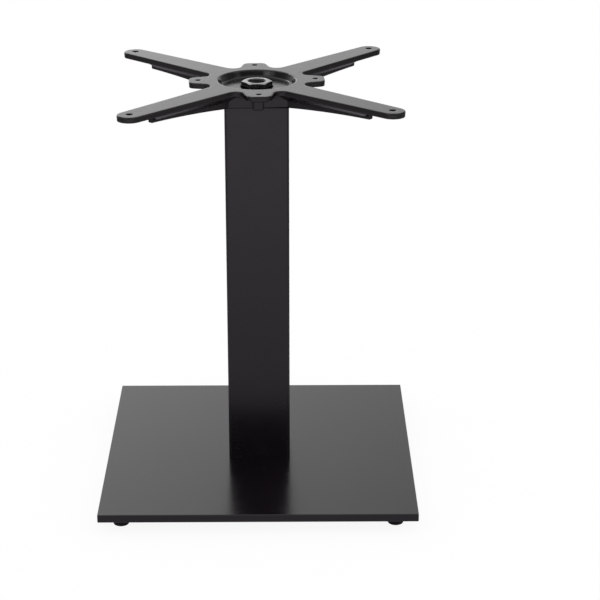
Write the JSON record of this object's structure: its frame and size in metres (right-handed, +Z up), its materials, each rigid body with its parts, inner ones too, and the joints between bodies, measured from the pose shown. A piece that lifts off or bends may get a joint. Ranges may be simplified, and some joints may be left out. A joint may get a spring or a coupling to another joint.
{
  "type": "coffee table base",
  "caption": "Pedestal coffee table base: flat square plate on screw glides, square column and a cast spider with ribbed arms and drilled ears that carries the table top.",
  "frame": {"origin": "on the floor under the middle of the plate, with the glides screwed home", "axes": "+Z up along the column, -Y to the front, X and Y along the plate's edges"},
  "size_m": [0.38, 0.38, 0.502],
  "materials": {
    "plate_coat": "black fine-textured powder coat",
    "column_coat": "black fine-textured powder coat",
    "spider_coat": "cast iron with a satin black coat",
    "zinc": "bright zinc plate",
    "rod_steel": "plain threaded steel",
    "inner_steel": "plain milled steel",
    "screw_black": "black oxide steel",
    "glide_plastic": "moulded black nylon"
  },
  "bodies": {
    "base": {"base_plate": "plate_coat", "column": "column_coat", "top_spider": "spider_coat", "tie_rod": "rod_steel", "top_washer": "zinc", "top_nut": "zinc", "column_locator": "inner_steel", "locator_screws": "screw_black"},
    "pad_front_left": {"glide_pad_front_left": "glide_plastic"},
    "stud_front_left": {"glide_stud_front_left": "zinc"},
    "pad_front_right": {"glide_pad_front_right": "glide_plastic"},
    "stud_front_right": {"glide_stud_front_right": "zinc"},
    "pad_back_left": {"glide_pad_back_left": "glide_plastic"},
    "stud_back_left": {"glide_stud_back_left": "zinc"},
    "pad_back_right": {"glide_pad_back_right": "glide_plastic"},
    "stud_back_right": {"glide_stud_back_right": "zinc"}
  },
  "joints": [
    {"name": "front_left_lift", "type": "slide", "parent": "base", "child": "pad_front_left", "axis": [0, 0, -1], "range_m": [0, 0.004]},
    {"name": "front_left_screw", "type": "hinge", "parent": "pad_front_left", "child": "stud_front_left", "pos_m": [-0.164, -0.164, 0.014], "axis": [0, 0, -1], "range_deg": [0, 1152]},
    {"name": "front_right_lift", "type": "slide", "parent": "base", "child": "pad_front_right", "axis": [0, 0, -1], "range_m": [0, 0.004]},
    {"name": "front_right_screw", "type": "hinge", "parent": "pad_front_right", "child": "stud_front_right", "pos_m": [0.164, -0.164, 0.014], "axis": [0, 0, -1], "range_deg": [0, 1152]},
    {"name": "back_left_lift", "type": "slide", "parent": "base", "child": "pad_back_left", "axis": [0, 0, -1], "range_m": [0, 0.004]},
    {"name": "back_left_screw", "type": "hinge", "parent": "pad_back_left", "child": "stud_back_left", "pos_m": [-0.164, 0.164, 0.014], "axis": [0, 0, -1], "range_deg": [0, 1152]},
    {"name": "back_right_lift", "type": "slide", "parent": "base", "child": "pad_back_right", "axis": [0, 0, -1], "range_m": [0, 0.004]},
    {"name": "back_right_screw", "type": "hinge", "parent": "pad_back_right", "child": "stud_back_right", "pos_m": [0.164, 0.164, 0.014], "axis": [0, 0, -1], "range_deg": [0, 1152]}
  ],
  "couplings": [
    {"joint": "front_left_lift", "follows": "front_left_screw", "m_per_rad": 0.00019894},
    {"joint": "front_right_lift", "follows": "front_right_screw", "m_per_rad": 0.00019894},
    {"joint": "back_left_lift", "follows": "back_left_screw", "m_per_rad": 0.00019894},
    {"joint": "back_right_lift", "follows": "back_right_screw", "m_per_rad": 0.00019894}
  ]
}
